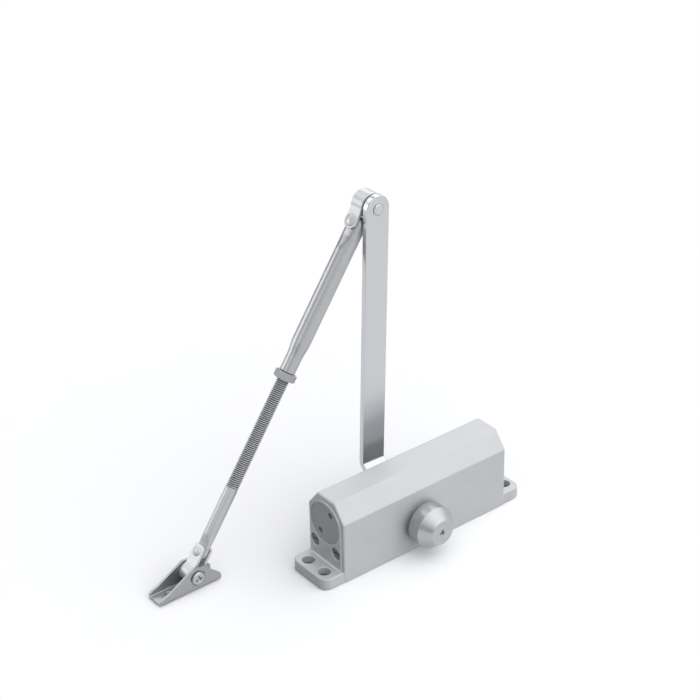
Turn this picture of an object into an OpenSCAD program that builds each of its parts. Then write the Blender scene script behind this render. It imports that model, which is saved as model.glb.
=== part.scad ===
// Surface-mounted rack-and-pinion door closer with a folding arm and a shoe bracket.
// The origin is the centre of the face that meets the door. +X runs along the body,
// +Z points away from the door, -Y towards the spindle cap and +Y towards the arm.

/* [Body] */
// Length of the main block along X
body_len = 160; // [156:1:170]
// Width of the main block along Y
body_w = 42; // [41:0.5:46]
// Height of the main block away from the door
body_h = 65; // [64:0.5:70]
// Height at which the long top chamfers begin
wall_h = 51; // [50:0.5:54]
// Width of the flat on top, between the chamfers
top_w = 20; // [18:0.5:24]
// Radius of the long outside edges
edge_r = 2; // [1:0.25:2.5]
// How far each mounting flange stands out past the main block
flange_len = 18.3; // [16:0.1:22]
// Thickness of the mounting flanges
flange_t = 9; // [8:0.25:10]
// Corner radius of the mounting flanges
flange_r = 7; // [4:0.5:9]
// Depth of the cored relief under each flange
relief_h = 3; // [2:0.25:4]
// Distance from the main block to the screw holes
hole_offset = 10; // [9.5:0.1:10.5]
// Distance between the two screw holes of one flange
hole_pitch = 19; // [18:0.5:20]
// Radius of the screw holes
hole_r = 4.8; // [3.5:0.1:5]
// Height of the raised boss on each end face
boss_t = 1.3; // [0.8:0.1:1.6]
// Radius of the arch of the end boss
boss_r = 18.5; // [18:0.1:18.8]

/* [Bore, piston and spring] */
// Radius of the main bore
bore_r = 17; // [16.8:0.1:17.2]
// Height of the bore axis above the door
bore_z = 43; // [42.8:0.1:43.5]
// Radial clearance of every running fit
fit = 0.05; // [0.03:0.01:0.08]
// Thickness of the threaded end plugs inside the block
plug_t = 11; // [10:0.5:11]
// Wire diameter of the return spring
spring_wire = 3.2; // [2.8:0.1:3.4]
// Mean radius of the return spring
spring_r = 12.4; // [12:0.1:13]
// Number of working turns of the return spring
spring_turns = 6; // [5:1:6]

/* [Spindle] */
// Spindle axis along the body, from the centre
spindle_x = -5; // [-6:0.5:-4]
// Height of the spindle axis above the door
spindle_z = 24; // [23.8:0.1:24]
// Gear module of the pinion and the rack
gear_module = 1.6; // [1.5:0.1:1.6]
// Radius of the spindle journals
journal_r = 7.2; // [7.1:0.05:7.3]
// Width across the flats of the square spindle ends
square_w = 10; // [9.5:0.1:10]
// Radius of the flange of each spindle gland
gland_r = 13; // [12.5:0.1:14]
// Radius of the skirt of the spindle cap
cap_r = 17; // [16.5:0.1:18]
// Length of the cap's straight skirt
cap_skirt = 10.7; // [9:0.1:11]
// Length of the cap's cone
cap_cone = 9; // [8.5:0.1:10]
// Radius of the flat end of the cap
cap_tip_r = 10.2; // [9:0.1:11]

/* [Main arm] */
// Width of the main arm
arm_w = 21; // [20:0.5:22]
// Thickness of the main arm
arm_t = 5; // [4.5:0.25:5]
// Face of the upper part of the arm that looks at the body
arm_y = 37; // [36.5:0.25:37]
// Elbow pin along X
elbow_x = 3; // [0:0.5:6]
// Elbow pin above the door face
elbow_z = 259.5; // [250:0.5:270]

/* [Forearm and shoe] */
// Plane of the forearm, as a distance along +Y
forearm_y = 50; // [50:0.25:50.5]
// Shoe pin along X
shoe_x = -168; // [-172:0.5:-160]
// Shoe pin above the door face
shoe_z = 11; // [10.5:0.25:12]
// Radius of the forearm tube
tube_r = 7.15; // [6.8:0.05:7.2]
// Radius of the necked end of the tube
neck_r = 6; // [5.9:0.05:6.3]
// Radius over the thread of the adjusting rod
rod_r = 4.95; // [4.8:0.05:4.95]
// Width across the flats of the lock nut
nut_af = 14.5; // [14:0.5:15]
// Outside width of the shoe bracket
shoe_w = 16; // [16:0.25:17]
// Sheet thickness of the shoe bracket
shoe_t = 1.8; // [1.5:0.1:1.8]
// Reach of the shoe's long slope from its pin
shoe_reach = 33.5; // [32:0.5:36]
// Length of the shoe behind its pin
shoe_back = 20.8; // [20:0.1:22]

/* [Hidden] */
$fn = 96;
eps = 0.01;
cut = 1;
arc_steps = 6;

half_len = body_len / 2;
half_w = body_w / 2;
end_x = half_len + boss_t;
hole_x = half_len + hole_offset;

// End plugs: how deep they sit in the boss, and their spanner holes
plug_sink = 0.6;
spanner_r = 2.4;
spanner_depth = 4;
spanner_circle_r = 11.2;
spanner_angle = 33;

// Pinion and rack: stub teeth with a 25 degree pressure angle and some backlash
pinion_teeth = 10;
pressure_angle = 25;
pitch_r = gear_module * pinion_teeth / 2;
addendum = 0.8 * gear_module;
dedendum = gear_module;
backlash = 0.06;
tooth_pitch = PI * gear_module;
pinion_len = 20;
rack_z = spindle_z + pitch_r;
rack_teeth_left = 7;
rack_teeth_right = 2;

// The piston's two round heads leave the rack open over the spindle for its whole travel
piston_left = -54;
piston_right = 20;
rack_left = -42;
rack_right = 8;
piston_relief_z = 36.5;
seal_w = 2.4;

// Spindle stack along Y
bearing_in = 11;
bearing_out = 16;
bearing_r = 10.2;
gland_body_r = 11.5;
gland_out = half_w + 3.8;
journal_end = gland_out + 0.6;
seal_in = 18;
seal_out = 20;
seal_r = 9;
cap_back = half_w + 4.3;
cap_rim = cap_back + cap_skirt;
cap_tip = cap_rim + cap_cone;
cap_wall = 2.5;
cap_socket_depth = 8.2;
screw_r = 2;
cap_head_r = 3;
cap_head_t = 2.4;
cross_w = 4;
cross_t = 1;

// Main arm: the lower part sits close to the body and steps out to the upper part
arm_low_y = journal_end + 0.6;
arm_angle = atan2(elbow_x - spindle_x, elbow_z - spindle_z);
arm_len = norm([elbow_x - spindle_x, elbow_z - spindle_z]);
step_start = 15;
step_end = 24;
washer_r = 8.5;
washer_t = 1.5;
arm_head_af = 10;
arm_head_t = 4;

// Elbow: a rivet through the arm carries the strap
elbow_pin_r = 3.5;
elbow_head_r = 4.3;
strap_w = 12;
strap_r = 10.2;
elbow_bush_r = 5.2;
strap_ear_out = 8;
strap_ear_in = 5.5;
strap_ear_drop = 15.5;
tube_end = 4.8;
forearm_pin_r = 3;

// Forearm: its own axis runs from the shoe pin to the elbow pin
forearm_angle = atan2(elbow_x - shoe_x, elbow_z - shoe_z);
forearm_len = norm([elbow_x - shoe_x, elbow_z - shoe_z]);
neck_start = 166.2;
neck_end = 182;
taper_end = 188;
flat_start = forearm_len - 34;
flat_full = forearm_len - 27;
flat_half = 5.3;
tube_bore_r = rod_r + fit;
tube_bore_end = flat_start - 3;
nut_t = 6;
nut_gap = 0.3;
nut_turn = 13;

// Adjusting rod
rod_end = 205;
plain_rod_r = 4.9;
thread_start = 70;
foot_pin_s = 17;
foot_pin_r = 2.5;
rod_flat_half = 2.3;
rod_flat_w = 5.5;

// Foot strap and shoe bracket
foot_r = 7.5;
foot_w = 11.6;
foot_bush_r = 4.4;
foot_ear_out = 4.6;
shoe_head_r = 5.4;
shoe_sink_r = 6.5;
shoe_sink = 0.8;
foot_ear_in = 2.6;
shoe_pin_r = 3;
shoe_top = 8.6;
shoe_tip_h = 4.6;
shoe_tail_h = 5.8;
shoe_hole_left = -21;
shoe_hole_right = 15;
shoe_hole_r = 2.6;

// Speed valves in the left end face
valve_y = 12.5;
valve_z = 22;
valve_r = 3;
valve_mouth_r = 4.8;
valve_mouth = 3;
valve_len = 26;
valve_head_r = 4.2;
valve_tip_r = 1.2;
port_r = 1.2;

// ---------- helpers ----------

// A closed outline with its corners rounded. r is one radius, or a list with one for each
// corner, where 0 keeps the corner sharp
function rounded(points, r, steps = arc_steps) = [
    for (i = [0:len(points) - 1])
        let (radius = is_list(r) ? r[i] : r)
        if (radius == 0) points[i]
        else let (
            here = points[i],
            before = points[(i + len(points) - 1) % len(points)],
            after = points[(i + 1) % len(points)],
            to_before = (before - here) / norm(before - here),
            to_after = (after - here) / norm(after - here),
            half = acos(to_before * to_after) / 2,
            middle = (to_before + to_after) / norm(to_before + to_after),
            centre = here + middle * radius / sin(half),
            start = here + to_before * radius / tan(half) - centre,
            finish = here + to_after * radius / tan(half) - centre
        )
        for (k = [0:steps])
            let (mixed = start * (1 - k / steps) + finish * k / steps)
            centre + radius * mixed / norm(mixed)
];

// Children are drawn in XY and pulled along X, with the drawing's X on Y and its Y on Z
module along_x(from, to) {
    translate([from, 0, 0]) rotate([90, 0, 90]) linear_extrude(to - from) children();
}

// A solid rod along X between two places
module rod_x(from, to, r, y = 0, z = 0) {
    translate([from, y, z]) rotate([0, 90, 0]) cylinder(h = to - from, r = r);
}

// A solid rod along Y between two places, about an axis at x and z
module rod_y(from, to, r, x = 0, z = 0, r2 = -1) {
    translate([x, from, z]) rotate([-90, 0, 0])
        cylinder(h = to - from, r1 = r, r2 = r2 < 0 ? r : r2);
}

// A ring along Y
module ring_y(from, to, r_out, r_in, x = 0, z = 0) {
    difference() {
        rod_y(from, to, r_out, x, z);
        rod_y(from - cut, to + cut, r_in, x, z);
    }
}

// Children drawn in XZ and pulled along Y
module along_y(from, to) {
    translate([0, to, 0]) rotate([90, 0, 0]) linear_extrude(to - from) children();
}

// Children placed on the spindle axis
module at_spindle() {
    translate([spindle_x, 0, spindle_z]) children();
}

// Children placed on the forearm: Z runs from the shoe pin to the elbow pin
module on_forearm() {
    translate([shoe_x, forearm_y, shoe_z]) rotate([0, forearm_angle, 0]) children();
}

// Children placed on the main arm: Z runs from the spindle to the elbow pin
module on_arm() {
    at_spindle() rotate([0, arm_angle, 0]) children();
}

// A hexagonal prism along Z
module hexagon(af, h) {
    cylinder(h = h, r = af / 2 / cos(30), $fn = 6);
}

// A cross-shaped driver recess along Z
module cross_recess(width, thick, depth) {
    for (turn = [0, 90])
        rotate([0, 0, turn]) translate([-width / 2, -thick / 2, 0]) cube([width, thick, depth]);
}

// ---------- body ----------

// Section of the main block: straight sides, two long chamfers and a narrow top
module block_section() {
    polygon(rounded([
        [half_w, 0], [half_w, wall_h], [top_w / 2, body_h],
        [-top_w / 2, body_h], [-half_w, wall_h], [-half_w, 0]
    ], [0, edge_r, edge_r, edge_r, edge_r, 0]));
}

// Outline of the flange at the right-hand end, with round outer corners
module flange_outline(grow = 0) {
    inner = half_len - 10;
    outer = half_len + flange_len - grow;
    wide = half_w - 0.5 - grow;
    corner_r = flange_r - grow;
    polygon(rounded([[inner, -wide], [outer, -wide], [outer, wide], [inner, wide]],
        [0, corner_r, corner_r, 0]));
}

// Raised D-shaped boss on an end face
module end_boss_section() {
    polygon(concat(
        [[-boss_r, flange_t - 1], [boss_r, flange_t - 1]],
        [for (a = [0:6:180]) [boss_r * cos(a), bore_z + boss_r * sin(a)]]
    ));
}

// Cored relief under one flange, leaving a rim all round
module flange_relief() {
    translate([0, 0, -cut]) linear_extrude(relief_h + cut) intersection() {
        flange_outline(3);
        translate([half_len - 2, -half_w]) square([flange_len + 2, body_w]);
    }
}

// Oil ways between one speed valve and the main bore
module valve_ports(side) {
    port_top = bore_z - sqrt(pow(bore_r, 2) - pow(valve_y, 2)) + 1;
    for (x = [-62, -58])
        translate([x, side * valve_y, valve_z]) cylinder(h = port_top - valve_z, r = port_r);
}

module body_casting() {
    color("silver") difference() {
        union() {
            along_x(-half_len, half_len) block_section();
            for (side = [0, 1]) mirror([side, 0, 0]) linear_extrude(flange_t) flange_outline();
            along_x(-end_x, end_x) end_boss_section();
        }
        rod_x(-end_x - cut, end_x + cut, bore_r, 0, bore_z);
        rod_y(-bearing_out, bearing_out, bearing_r, spindle_x, spindle_z);
        rod_y(bearing_out, half_w + cut, gland_body_r, spindle_x, spindle_z);
        rod_y(-half_w - cut, -bearing_out, gland_body_r, spindle_x, spindle_z);
        for (side = [0, 1]) mirror([side, 0, 0]) flange_relief();
        for (side = [-1, 1]) {
            rod_x(-end_x - cut, -end_x + valve_mouth, valve_mouth_r, side * valve_y, valve_z);
            rod_x(-end_x, -end_x + valve_len + cut, valve_r, side * valve_y, valve_z);
            valve_ports(side);
            for (sx = [-1, 1])
                translate([sx * hole_x, side * hole_pitch / 2, -cut])
                    cylinder(h = flange_t + 2 * cut, r = hole_r);
        }
    }
}

// Threaded plug that closes one end of the bore, with two spanner holes and a seal groove
module end_plug(side) {
    face = end_x - plug_sink;
    color("dimgray") mirror([side < 0 ? 1 : 0, 0, 0]) difference() {
        rod_x(half_len - plug_t, face, bore_r, 0, bore_z);
        for (turn = [0, 180])
            translate([0, 0, bore_z]) rotate([turn - side * spanner_angle, 0, 0])
                rod_x(face - spanner_depth, face + cut, spanner_r, 0, spanner_circle_r);
        plug_groove(bore_r - seal_w / 2);
    }
}

// Ring-shaped space of the plug's seal, from an inner radius outwards
module plug_groove(r_in) {
    difference() {
        rod_x(half_len - 7, half_len - 7 + seal_w, bore_r + cut, 0, bore_z);
        rod_x(half_len - 8, half_len - 3, r_in, 0, bore_z);
    }
}

module end_plug_left() {
    end_plug(-1);
}

module end_plug_right() {
    end_plug(1);
}

// Seal that fills the groove of one end plug
module plug_seal(side) {
    color("black") mirror([side < 0 ? 1 : 0, 0, 0]) difference() {
        rod_x(half_len - 7, half_len - 7 + seal_w, bore_r, 0, bore_z);
        rod_x(half_len - 8, half_len - 3, bore_r - seal_w / 2, 0, bore_z);
    }
}

module plug_seal_left() {
    plug_seal(-1);
}

module plug_seal_right() {
    plug_seal(1);
}

// Threaded gland that holds the spindle on one side of the block
module gland(side) {
    color("gray") mirror([0, side < 0 ? 1 : 0, 0]) difference() {
        union() {
            rod_y(bearing_out, half_w, gland_body_r, spindle_x, spindle_z);
            rod_y(half_w, gland_out, gland_r, spindle_x, spindle_z);
        }
        rod_y(bearing_out - cut, gland_out + cut, journal_r + fit, spindle_x, spindle_z);
        rod_y(seal_in, seal_out, seal_r, spindle_x, spindle_z);
    }
}

module gland_front() {
    gland(-1);
}

module gland_rear() {
    gland(1);
}

// Plain bearing ring beside the pinion
module bearing(side) {
    color("goldenrod") mirror([0, side < 0 ? 1 : 0, 0])
        ring_y(bearing_in, bearing_out, bearing_r, journal_r + fit, spindle_x, spindle_z);
}

module bearing_front() {
    bearing(-1);
}

module bearing_rear() {
    bearing(1);
}

// Rubber lip seal inside the gland
module shaft_seal(side) {
    color("black") mirror([0, side < 0 ? 1 : 0, 0])
        ring_y(seal_in, seal_out, seal_r, journal_r + fit, spindle_x, spindle_z);
}

module shaft_seal_front() {
    shaft_seal(-1);
}

module shaft_seal_rear() {
    shaft_seal(1);
}

// ---------- spring and piston ----------

spring_seat_t = 2;
spring_from = piston_right + spring_wire / 2 + fit;
spring_to = half_len - plug_t - spring_seat_t - spring_wire / 2 - fit;
spring_steps = 20;
spring_sides = 8;
spring_rings = (spring_turns + 2) * spring_steps;

// Where the spring's wire has got to along X: the first and last turns lie flat
function spring_at(i) =
    let (turn = i / spring_steps, share = min(max(turn - 1, 0), spring_turns) / spring_turns)
    spring_from + min(turn, 1) * spring_wire * 0.5
    + share * (spring_to - spring_from - spring_wire)
    + max(turn - 1 - spring_turns, 0) * spring_wire * 0.5;

// One point of the spring's skin: ring i along the wire, side k around it
function spring_point(i, k) =
    let (
        angle = 360 * i / spring_steps,
        around = 360 * k / spring_sides,
        radius = spring_r + spring_wire / 2 * cos(around)
    )
    [spring_at(i) + spring_wire / 2 * sin(around), radius * cos(angle),
        bore_z + radius * sin(angle)];

module return_spring() {
    n = spring_sides;
    color("slategray") polyhedron(
        points = [for (i = [0:spring_rings], k = [0:n - 1]) spring_point(i, k)],
        faces = concat(
            [for (i = [0:spring_rings - 1], k = [0:n - 1])
                [i * n + k, i * n + (k + 1) % n, (i + 1) * n + (k + 1) % n, (i + 1) * n + k]],
            [[for (k = [n - 1:-1:0]) k]],
            [[for (k = [0:n - 1]) spring_rings * n + k]]
        )
    );
}

// Dished washer that the spring bears on at the plug
module spring_seat() {
    seat_x = half_len - plug_t - spring_seat_t;
    color("gray") difference() {
        rod_x(seat_x, half_len - plug_t, bore_r - 0.5, 0, bore_z);
        rod_x(seat_x - cut, half_len - plug_t + cut, 6, 0, bore_z);
    }
}

// One rack tooth, pointing down from the rack's root line
module rack_tooth() {
    half = tooth_pitch / 4 - backlash;
    lean = tan(pressure_angle);
    polygon([
        [-half - dedendum * lean, dedendum + eps], [-half + addendum * lean, -addendum],
        [half - addendum * lean, -addendum], [half + dedendum * lean, dedendum + eps]
    ]);
}

module piston() {
    color("lightsteelblue") difference() {
        union() {
            difference() {
                rod_x(piston_left, piston_right, bore_r - fit, 0, bore_z);
                translate([rack_left, -body_w, 0])
                    cube([rack_right - rack_left, 2 * body_w, rack_z + dedendum]);
                for (side = [-1, 1])
                    translate([rack_left, side > 0 ? pinion_len / 2 : -pinion_len / 2 - bore_r, 0])
                        cube([rack_right - rack_left, bore_r, piston_relief_z]);
            }
            along_y(-pinion_len / 2, pinion_len / 2)
                for (k = [-rack_teeth_left:rack_teeth_right - 1])
                    translate([spindle_x + (k + 0.5) * tooth_pitch, rack_z]) rack_tooth();
        }
        rod_x(piston_left - cut, piston_left + 7, 4, 0, bore_z + 3);
        rod_x(piston_left, rack_left + 14, 1.6, 0, bore_z + 3);
        difference() {
            rod_x(piston_left + 4, piston_left + 4 + seal_w, bore_r + cut, 0, bore_z);
            rod_x(piston_left, piston_left + 12, bore_r - fit - seal_w / 2, 0, bore_z);
        }
        translate([rack_left + 12, 0, bore_z + 3]) cylinder(h = bore_r + cut, r = 2);
    }
}

// Piston ring in the groove of the left head
module piston_seal() {
    color("black") difference() {
        rod_x(piston_left + 4, piston_left + 4 + seal_w, bore_r - fit, 0, bore_z);
        rod_x(piston_left, piston_left + 12, bore_r - fit - seal_w / 2, 0, bore_z);
    }
}

// Threaded seat that keeps the check ball in the piston head
module check_valve_seat() {
    color("goldenrod") difference() {
        rod_x(piston_left, piston_left + 2.5, 4, 0, bore_z + 3);
        rod_x(piston_left - cut, piston_left + 2.5 + cut, 1.8, 0, bore_z + 3);
    }
}

module check_ball() {
    color("lightgray") translate([piston_left + 4.8, 0, bore_z + 3]) sphere(r = 2.1);
}

// ---------- speed valves ----------

// Needle screw with a slotted head
module speed_valve(side) {
    tip = -end_x + valve_len;
    head = -end_x + 1.2;
    color("gray") difference() {
        union() {
            rod_x(head, -end_x + valve_mouth - 0.1, valve_head_r, side * valve_y, valve_z);
            rod_x(head, tip - 8, valve_r - fit, side * valve_y, valve_z);
            rod_x(tip - 9, tip, valve_tip_r, side * valve_y, valve_z);
        }
        translate([head - cut, side * valve_y - 0.6, valve_z - 3]) cube([cut + 1.1, 1.2, 6]);
        valve_groove(side, valve_r - fit - 0.9);
    }
}

// Ring-shaped groove of a valve seal, outside a core radius
module valve_groove(side, core_r) {
    difference() {
        rod_x(-end_x + 8, -end_x + 9.6, valve_r + cut, side * valve_y, valve_z);
        rod_x(-end_x + 7, -end_x + 11, core_r, side * valve_y, valve_z);
    }
}

// Seal ring that fills the groove of a valve
module valve_seal(side) {
    color("black") difference() {
        rod_x(-end_x + 8, -end_x + 9.6, valve_r - fit, side * valve_y, valve_z);
        rod_x(-end_x + 7, -end_x + 11, valve_r - fit - 0.9, side * valve_y, valve_z);
    }
}

module closing_valve() {
    speed_valve(1);
}

module closing_valve_seal() {
    valve_seal(1);
}

module latching_valve() {
    speed_valve(-1);
}

module latching_valve_seal() {
    valve_seal(-1);
}

// ---------- spindle ----------

// A flank point of the pinion at a radius: its angle from the middle of the tooth
function flank_angle(r) =
    let (
        base_r = pitch_r * cos(pressure_angle),
        roll = sqrt(pow(max(r, base_r) / base_r, 2) - 1),
        here = roll * 180 / PI - atan(roll),
        at_pitch = tan(pressure_angle) * 180 / PI - pressure_angle
    )
    90 / pinion_teeth - backlash / pitch_r * 180 / PI + at_pitch - here;

// Pinion outline, with one tooth pointing along the drawing's Y
module pinion_section() {
    root_r = pitch_r - dedendum;
    tip_r = pitch_r + addendum;
    steps = 5;
    radii = [for (k = [0:steps]) root_r + (tip_r - root_r) * k / steps];
    polygon([
        for (tooth = [0:pinion_teeth - 1])
            let (middle = 90 - 360 * tooth / pinion_teeth)
            for (j = [0:2 * steps + 1])
                let (
                    r = j <= steps ? radii[j] : radii[2 * steps + 1 - j],
                    angle = middle + (j <= steps ? 1 : -1) * flank_angle(r)
                )
                r * [cos(angle), sin(angle)]
    ]);
}

// Square drive on the spindle between two places along Y
module square_end(from, to) {
    translate([-square_w / 2, from, -square_w / 2]) cube([square_w, to - from, square_w]);
}

module pinion_shaft() {
    color("slategray") at_spindle() difference() {
        union() {
            along_y(-pinion_len / 2, pinion_len / 2) pinion_section();
            rod_y(-journal_end, journal_end, pitch_r - 1.3 * dedendum);
            rod_y(pinion_len / 2, journal_end, journal_r);
            rod_y(-journal_end, -pinion_len / 2, journal_r);
            rotate([0, arm_angle, 0]) {
                square_end(journal_end - 1, arm_low_y + arm_t);
                square_end(-cap_back - cap_socket_depth, -journal_end + 1);
            }
        }
        rod_y(journal_end - 12, journal_end + 20, 3);
        rod_y(-cap_tip, -journal_end + 12, screw_r);
    }
}

module spindle_cap() {
    color("silver") at_spindle() difference() {
        union() {
            rod_y(-cap_rim, -cap_back, cap_r);
            rod_y(-cap_tip, -cap_rim, cap_tip_r, r2 = cap_r);
        }
        ring_y(-cap_rim, -cap_back + cut, cap_r - cap_wall, 9);
        rotate([0, arm_angle, 0]) square_end(-cap_back - cap_socket_depth, -cap_back + cut);
        rod_y(-cap_tip - cut, -cap_back, screw_r);
        rod_y(-cap_tip - cut, -cap_tip + cap_head_t, cap_head_r);
    }
}

module cap_screw() {
    color("gainsboro") at_spindle() difference() {
        union() {
            rod_y(-cap_tip, -cap_tip + cap_head_t, cap_head_r);
            rod_y(-cap_tip, -journal_end + 10, screw_r);
        }
        translate([0, -cap_tip - eps, 0]) rotate([-90, 0, 0])
            cross_recess(cross_w, cross_t, 1.6);
    }
}

// ---------- main arm ----------

// Side view of the arm: the drawing's X is Y and its Y runs along the arm
module arm_side() {
    low = arm_low_y;
    polygon([
        [low, -arm_w], [low + arm_t, -arm_w], [low + arm_t, step_start - 2],
        [arm_y + arm_t, step_end - 2], [arm_y + arm_t, arm_len + arm_w],
        [arm_y, arm_len + arm_w], [arm_y, step_end], [low, step_start]
    ]);
}

// Front view of the arm: a straight bar with round ends
module arm_front() {
    translate([-arm_w / 2, 0]) square([arm_w, arm_len]);
    for (z = [0, arm_len]) translate([0, z]) circle(arm_w / 2);
}

module main_arm() {
    color("silver") on_arm() difference() {
        intersection() {
            along_x(-arm_w / 2, arm_w / 2) arm_side();
            along_y(0, arm_y + 2 * arm_t) arm_front();
        }
        square_end(0, arm_y);
        rod_y(arm_y - cut, arm_y + arm_t + cut, elbow_pin_r, 0, arm_len);
    }
}

module arm_washer() {
    from = arm_low_y + arm_t;
    color("gray") at_spindle() ring_y(from, from + washer_t, washer_r, 3);
}

module arm_screw() {
    from = arm_low_y + arm_t + washer_t;
    color("dimgray") on_arm() difference() {
        union() {
            rod_y(journal_end - 10, from, 3);
            translate([0, from, 0]) rotate([-90, 0, 0]) hexagon(arm_head_af, arm_head_t);
        }
        rod_y(from + arm_head_t - 2, from + arm_head_t + cut, 2.5);
    }
}

// ---------- elbow ----------

module elbow_rivet() {
    tail = forearm_y + strap_w / 2 + 0.4;
    color("gainsboro") on_arm() translate([0, 0, arm_len]) {
        rod_y(arm_y - 1.2, arm_y, elbow_head_r - 0.6, r2 = elbow_head_r);
        rod_y(arm_y, tail, elbow_pin_r);
        rod_y(tail, tail + 1.6, 5.5, r2 = 4.4);
    }
}

module elbow_washer() {
    color("gray") on_arm() translate([0, 0, arm_len])
        ring_y(arm_y + arm_t + 0.3, forearm_y - strap_w / 2 - 0.3, 7.5, elbow_pin_r + 0.3);
}

// Ear of a strap, drawn with Y across the forearm and Z along it. It ends half its width past
// the pin, with two corners of a radius
module strap_ear(x_from, x_to, z_root, z_pin, width, corner_r) {
    half = width / 2;
    tip = z_pin + (z_pin > z_root ? half : -half);
    along_x(x_from, x_to) polygon(rounded(
        [[-half, z_root], [half, z_root], [half, tip], [-half, tip]], [0, 0, corner_r, corner_r]
    ));
}

module elbow_strap() {
    pin = forearm_len - strap_ear_drop;
    color("gainsboro") on_forearm() difference() {
        union() {
            rod_y(-strap_w / 2, strap_w / 2, strap_r, 0, forearm_len);
            for (side = [0, 1]) mirror([side, 0, 0])
                strap_ear(strap_ear_in, strap_ear_out, forearm_len - 4, pin, strap_w, 5.6);
        }
        rod_y(-strap_w, strap_w, elbow_bush_r, 0, forearm_len);
        rod_x(-strap_r - cut, strap_r + cut, forearm_pin_r, 0, pin);
    }
}

module elbow_bush() {
    color("ivory") on_forearm()
        ring_y(-strap_w / 2, strap_w / 2, elbow_bush_r, elbow_pin_r + fit, 0, forearm_len);
}

// Rivet across a strap's ears, with a shallow domed head at each end
module cross_rivet(pin_r, head_r, half_grip, z) {
    rod_x(-half_grip, half_grip, pin_r, 0, z);
    for (side = [0, 1]) mirror([side, 0, 0]) translate([half_grip, 0, z]) rotate([0, 90, 0])
        cylinder(h = 1.6, r1 = head_r, r2 = head_r * 0.6);
}

module forearm_rivet() {
    color("gainsboro") on_forearm()
        cross_rivet(forearm_pin_r, 4.6, strap_ear_out, forearm_len - strap_ear_drop);
}

// ---------- forearm ----------

// Side view of the tube: full width, then pressed flat near its upper end
module tube_side() {
    top = forearm_len;
    wide = tube_r + 1;
    polygon([
        [-wide, 0], [wide, 0], [wide, flat_start - 2], [flat_half, flat_full],
        [flat_half, top], [-flat_half, top], [-flat_half, flat_full], [-wide, flat_start - 2]
    ]);
}

module forearm_tube() {
    pin = forearm_len - strap_ear_drop;
    color("lightgray") on_forearm() difference() {
        intersection() {
            union() {
                translate([0, 0, neck_start]) cylinder(h = neck_end - neck_start, r = neck_r);
                translate([0, 0, neck_end])
                    cylinder(h = taper_end - neck_end, r1 = neck_r, r2 = tube_r);
                translate([0, 0, taper_end]) cylinder(h = forearm_len - taper_end, r = tube_r);
            }
            along_y(-tube_r - 1, tube_r + 1) tube_side();
            along_x(-tube_r - 1, tube_r + 1) polygon(rounded(
                [[-tube_r, 0], [tube_r, 0], [tube_r, pin + tube_end], [-tube_r, pin + tube_end]],
                [0, 0, tube_r - 1.5, tube_r - 1.5]
            ));
        }
        translate([0, 0, neck_start - cut])
            cylinder(h = tube_bore_end - neck_start + cut, r = tube_bore_r);
        rod_x(-tube_r, tube_r, forearm_pin_r + fit, 0, pin);
    }
}

module lock_nut() {
    color("lightgray") on_forearm() translate([0, 0, neck_start - nut_gap - nut_t])
        difference() {
            intersection() {
                rotate([0, 0, nut_turn]) hexagon(nut_af, nut_t);
                translate([0, 0, nut_t / 2]) for (side = [0, 1]) mirror([0, 0, side])
                    cylinder(h = nut_t / 2, r1 = nut_af * 0.59, r2 = nut_af * 0.52);
            }
            translate([0, 0, -cut]) cylinder(h = nut_t + 2 * cut, r = tube_bore_r);
        }
}

module threaded_rod() {
    color("slategray") on_forearm() difference() {
        union() {
            translate([0, 0, thread_start]) cylinder(h = rod_end - thread_start, r = rod_r);
            translate([0, 0, 29]) cylinder(h = thread_start - 29, r = plain_rod_r);
            translate([0, 0, 25])
                cylinder(h = 4, r1 = rod_flat_half, r2 = plain_rod_r);
            strap_ear(-rod_flat_half, rod_flat_half, 27, foot_pin_s, 2 * rod_flat_w, 5.2);
        }
        rod_x(-plain_rod_r, plain_rod_r, foot_pin_r + fit, 0, foot_pin_s);
    }
}

// ---------- foot ----------

module foot_strap() {
    color("silver") on_forearm() difference() {
        union() {
            rod_y(-foot_w / 2, foot_w / 2, foot_r);
            for (side = [0, 1]) mirror([side, 0, 0])
                strap_ear(foot_ear_in, foot_ear_out, 4.8, foot_pin_s, foot_w, 3.4);
        }
        rod_y(-foot_w, foot_w, foot_bush_r);
        rod_x(-foot_r, foot_r, foot_pin_r, 0, foot_pin_s);
    }
}

module foot_bush() {
    color("ivory") on_forearm()
        ring_y(-foot_w / 2, foot_w / 2, foot_bush_r, shoe_pin_r + fit);
}

module foot_rivet() {
    color("gainsboro") on_forearm() cross_rivet(foot_pin_r, 3.6, foot_ear_out, foot_pin_s);
}

// Side wall of the shoe: a blunt tip, a long slope up to a low hump over the pin, a small step
// and a short tail with a round end
module shoe_wall_outline() {
    base = -shoe_z;
    polygon(rounded(
        [
            [-shoe_reach, base], [-shoe_reach + 1, base + shoe_tip_h],
            [-shoe_reach + 8.5, base + shoe_tip_h + 2.7], [-3.3, shoe_top], [7.8, shoe_top - 0.6],
            [12, 2], [shoe_back - 0.3, base + shoe_tail_h], [shoe_back, base]
        ],
        [0, 2.5, 3, 6, 3.5, 1.2, 2.5, 0]
    ));
}

module shoe_bracket() {
    color("silver") translate([shoe_x, forearm_y, shoe_z]) difference() {
        union() {
            for (side = [-1, 1]) {
                outer = side * shoe_w / 2;
                inner = outer - side * shoe_t;
                along_y(min(outer, inner), max(outer, inner)) shoe_wall_outline();
            }
            translate([-shoe_reach, -shoe_w / 2, -shoe_z])
                cube([shoe_reach + shoe_back, shoe_w, shoe_t]);
        }
        rod_y(-shoe_w, shoe_w, shoe_pin_r);
        rod_y(-shoe_w, shoe_sink - shoe_w / 2, shoe_sink_r);
        for (x = [shoe_hole_left, shoe_hole_right])
            translate([x, 0, -shoe_z - cut]) cylinder(h = shoe_t + 2 * cut, r = shoe_hole_r);
    }
}

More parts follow.
